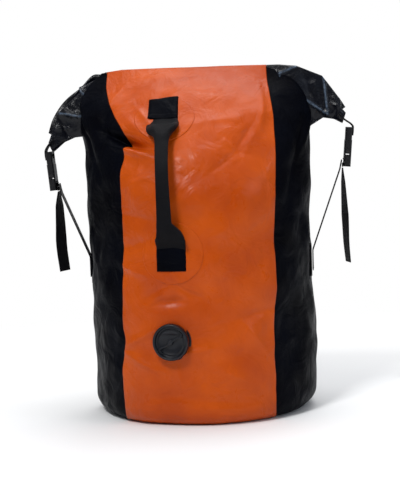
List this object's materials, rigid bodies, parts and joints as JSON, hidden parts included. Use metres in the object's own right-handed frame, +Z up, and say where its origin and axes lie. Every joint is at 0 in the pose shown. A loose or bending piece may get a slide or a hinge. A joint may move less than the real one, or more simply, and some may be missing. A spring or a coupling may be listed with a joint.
{
  "type": "roll-top dry bag",
  "caption": "Round waterproof bag closed by a rolled top and side-release buckles, with an upright webbing handle and a screw air valve on its front.",
  "frame": {"origin": "centre of the flat base's underside, on the ground", "axes": "+Z up, -Y out of the front panel with the handle and valve, +X to the viewer's right when the front is seen"},
  "size_m": [0.4913, 0.3779, 0.541],
  "materials": {
    "orange_tarpaulin": "orange PVC-coated fabric, semi-gloss",
    "black_tarpaulin": "black PVC-coated fabric, semi-gloss",
    "webbing": "black woven polyester webbing",
    "buckle_plastic": "black moulded acetal",
    "valve_plastic": "black moulded plastic, satin",
    "valve_rubber": "black silicone",
    "stiffener": "black polyethylene strip"
  },
  "bodies": {
    "bag": {"back_panel": "black_tarpaulin", "base_disc": "black_tarpaulin", "bottom_handle_cover": "black_tarpaulin", "bottom_handle_disc": "orange_tarpaulin", "bottom_handle_end": "webbing", "bottom_handle_tab": "webbing", "closure_roll": "black_tarpaulin", "front_panel": "orange_tarpaulin", "left_anchor_patch": "black_tarpaulin", "left_buckle_male": "buckle_plastic", "left_collar_wing": "black_tarpaulin", "left_lower_strap": "webbing", "left_roll_end": "black_tarpaulin", "left_seam_tape": "black_tarpaulin", "left_upper_strap": "webbing", "right_anchor_patch": "black_tarpaulin", "right_buckle_male": "buckle_plastic", "right_collar_wing": "black_tarpaulin", "right_lower_strap": "webbing", "right_roll_end": "black_tarpaulin", "right_seam_tape": "black_tarpaulin", "right_upper_strap": "webbing", "stiffener_strip": "stiffener", "top_handle_cover": "black_tarpaulin", "top_handle_disc": "orange_tarpaulin", "top_handle_end": "webbing", "top_handle_tab": "webbing", "valve_backing_ring": "valve_plastic", "valve_body": "valve_plastic", "valve_flange": "valve_plastic"},
    "right_adjuster": {"right_buckle_female": "buckle_plastic", "right_strap_turn": "webbing"},
    "left_adjuster": {"left_buckle_female": "buckle_plastic", "left_strap_turn": "webbing"},
    "right_tail": {"right_strap_tail": "webbing"},
    "left_tail": {"left_strap_tail": "webbing"},
    "right_front_arm": {"right_front_prong": "buckle_plastic"},
    "right_rear_arm": {"right_rear_prong": "buckle_plastic"},
    "left_front_arm": {"left_front_prong": "buckle_plastic"},
    "left_rear_arm": {"left_rear_prong": "buckle_plastic"},
    "handle": {"handle_grip": "webbing"},
    "seal_ring": {"valve_seal": "valve_rubber"},
    "cap": {"valve_cap": "valve_plastic"},
    "flap": {"valve_flap": "valve_rubber"}
  },
  "joints": [
    {"name": "right_buckle_release", "type": "slide", "parent": "bag", "child": "right_adjuster", "axis": [-0.0872, 0, -0.9962], "range_m": [0, 0.03], "deforming": ["right_lower_strap", "right_front_prong", "right_rear_prong"]},
    {"name": "right_front_prong_squeeze", "type": "hinge", "parent": "bag", "child": "right_front_arm", "pos_m": [0.23866, -0.0126, 0.41884], "axis": [0.9962, 0, -0.0872], "range_deg": [0, 8], "stiffness_Nm_per_rad": 1},
    {"name": "right_rear_prong_squeeze", "type": "hinge", "parent": "bag", "child": "right_rear_arm", "pos_m": [0.23866, 0.0126, 0.41884], "axis": [0.9962, 0, -0.0872], "range_deg": [-8, 0], "stiffness_Nm_per_rad": 1},
    {"name": "right_tail_swing", "type": "hinge", "parent": "right_adjuster", "child": "right_tail", "pos_m": [0.22839, 0, 0.37597], "axis": [0, 1, 0], "range_deg": [-60, 15]},
    {"name": "left_buckle_release", "type": "slide", "parent": "bag", "child": "left_adjuster", "axis": [0.0872, 0, -0.9962], "range_m": [0, 0.03], "deforming": ["left_lower_strap", "left_front_prong", "left_rear_prong"]},
    {"name": "left_front_prong_squeeze", "type": "hinge", "parent": "bag", "child": "left_front_arm", "pos_m": [-0.23516, -0.0126, 0.39584], "axis": [0.9962, 0, 0.0872], "range_deg": [0, 8], "stiffness_Nm_per_rad": 1},
    {"name": "left_rear_prong_squeeze", "type": "hinge", "parent": "bag", "child": "left_rear_arm", "pos_m": [-0.23516, 0.0126, 0.39584], "axis": [0.9962, 0, 0.0872], "range_deg": [-8, 0], "stiffness_Nm_per_rad": 1},
    {"name": "left_tail_swing", "type": "hinge", "parent": "left_adjuster", "child": "left_tail", "pos_m": [-0.22489, 0, 0.35297], "axis": [0, 1, 0], "range_deg": [-15, 60]},
    {"name": "handle_swing", "type": "hinge", "parent": "bag", "child": "handle", "pos_m": [-0.0365, -0.1765, 0.283], "axis": [-0.0503, 0.3841, 0.9219], "range_deg": [-25, 25], "stiffness_Nm_per_rad": 0.1, "deforming": ["top_handle_end", "bottom_handle_end"]},
    {"name": "cap_lift", "type": "slide", "parent": "bag", "child": "seal_ring", "axis": [-0.2229, -0.9749, 0], "range_m": [0, 0.0091]},
    {"name": "cap_turn", "type": "hinge", "parent": "seal_ring", "child": "cap", "pos_m": [-0.039, -0.1706, 0.13], "axis": [-0.2229, -0.9749, 0], "range_deg": [0, 540]},
    {"name": "flap_lift", "type": "slide", "parent": "bag", "child": "flap", "axis": [0.2229, 0.9749, 0], "range_m": [0, 0.0025], "stiffness_N_per_m": 60}
  ],
  "couplings": [
    {"joint": "right_rear_prong_squeeze", "follows": "right_front_prong_squeeze", "ratio": -1},
    {"joint": "left_rear_prong_squeeze", "follows": "left_front_prong_squeeze", "ratio": -1},
    {"joint": "cap_lift", "follows": "cap_turn", "m_per_rad": 0.00095493}
  ]
}
